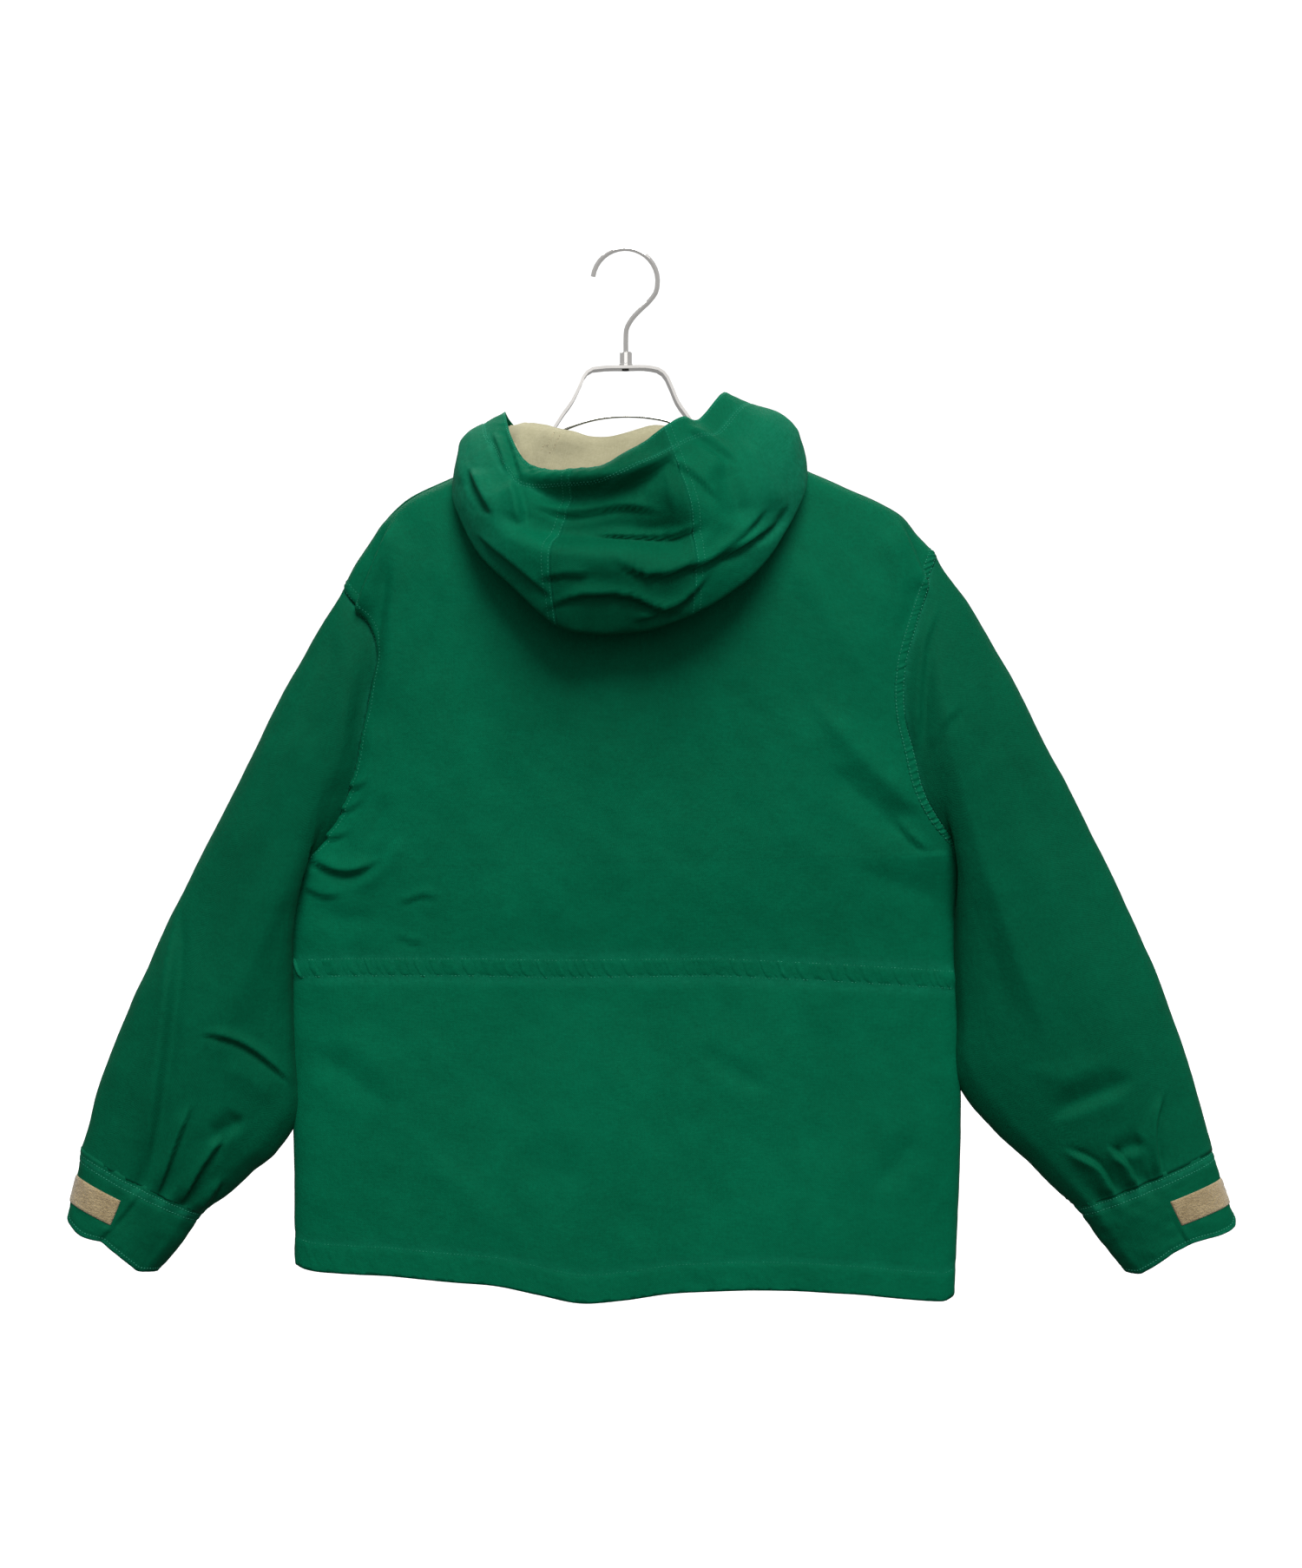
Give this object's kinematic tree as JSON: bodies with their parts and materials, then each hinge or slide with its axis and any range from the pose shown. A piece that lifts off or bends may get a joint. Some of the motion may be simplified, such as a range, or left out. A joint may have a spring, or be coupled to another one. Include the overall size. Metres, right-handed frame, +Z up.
{
  "type": "mountain parka on a hanger",
  "caption": "Hooded mountain parka with a zipped front and a waist drawcord channel, hood down, hanging on a flat metal hanger with a wire hook.",
  "frame": {"origin": "the inside top of the hook, where a rail holds it", "axes": "+Z up; +X to the right as seen from behind the parka, cuff to cuff; the parka's back faces -Y and its zipped front +Y"},
  "size_m": [1.047, 0.1876, 0.9422],
  "materials": {
    "cloth": "crisp dense poplin, slightly faded at the seams",
    "lining": "smooth beige lining cloth",
    "loop_tape": "short looped pile",
    "zip_tape": "woven tape",
    "zip_chain": "moulded teeth",
    "slider": "worn nickel",
    "hanger": "satin",
    "chrome": "polished"
  },
  "bodies": {
    "parka": {"back_panel": "cloth", "front_left": "cloth", "front_right": "cloth", "sleeve_left": "cloth", "sleeve_right": "cloth", "cuff_left": "cloth", "cuff_right": "cloth", "loop_tape_left": "loop_tape", "loop_tape_right": "loop_tape", "hood_side_left": "cloth", "hood_centre": "cloth", "hood_side_right": "cloth", "hood_lining": "lining", "zip_tape_left": "zip_tape", "zip_tape_right": "zip_tape", "zip_chain": "zip_chain", "zip_slider": "slider", "hanger_head": "hanger", "hanger_arm_left": "hanger", "hanger_arm_right": "hanger", "hanger_bar": "chrome", "hanger_ferrule": "chrome", "hanger_hook": "chrome"},
    "pull_tab": {"zip_pull": "slider"}
  },
  "joints": [
    {"name": "pull_tab_hinge", "type": "hinge", "parent": "parka", "child": "pull_tab", "pos_m": [0, 0.04488, -0.264], "axis": [1, 0, 0], "range_deg": [0, 160]}
  ]
}
